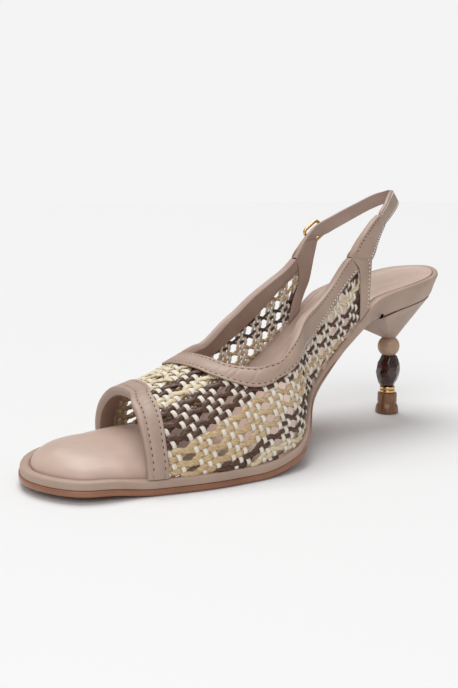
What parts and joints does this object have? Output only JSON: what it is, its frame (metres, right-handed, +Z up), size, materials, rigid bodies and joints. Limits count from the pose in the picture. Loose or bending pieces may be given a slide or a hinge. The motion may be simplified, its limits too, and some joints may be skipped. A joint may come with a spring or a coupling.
{
  "type": "stiletto slingback sandal",
  "caption": "Open-toed slingback sandal, right foot, with a woven upper, leather bindings, a side buckle and a slim beaded heel.",
  "frame": {"origin": "on the floor at the centre of the heel tip's flat end", "axes": "+X towards the toe, +Y towards the inner side of the foot, +Z up"},
  "size_m": [0.2232, 0.0819, 0.1082],
  "materials": {
    "taupe_leather": "smooth taupe leather, soft sheen, fine grain",
    "insole_leather": "smooth pink-taupe lining leather over a pad",
    "edge_leather": "tan-brown polished sole edge",
    "woven_cord": "woven waxed cords in off-white, straw, cream and dark brown",
    "gold_metal": "polished light gold plate",
    "beige_bead": "smooth beige-brown resin",
    "dark_bead": "glossy near-black red-brown resin with cut faces",
    "brown_wood": "varnished turned brown wood"
  },
  "bodies": {
    "root": {"outsole": "edge_leather", "rand": "taupe_leather", "insole": "insole_leather", "upper": "woven_cord", "toe_band": "taupe_leather", "topline_binding": "taupe_leather", "inner_back_binding": "taupe_leather", "outer_back_binding": "taupe_leather", "inner_strap_tab": "taupe_leather", "slingback_strap": "taupe_leather", "buckle_frame": "gold_metal", "buckle_pin": "gold_metal", "heel_block": "taupe_leather", "heel_ball": "beige_bead", "heel_bead": "dark_bead", "upper_ring": "gold_metal", "lower_ring": "gold_metal", "heel_tip": "brown_wood"}
  },
  "joints": []
}
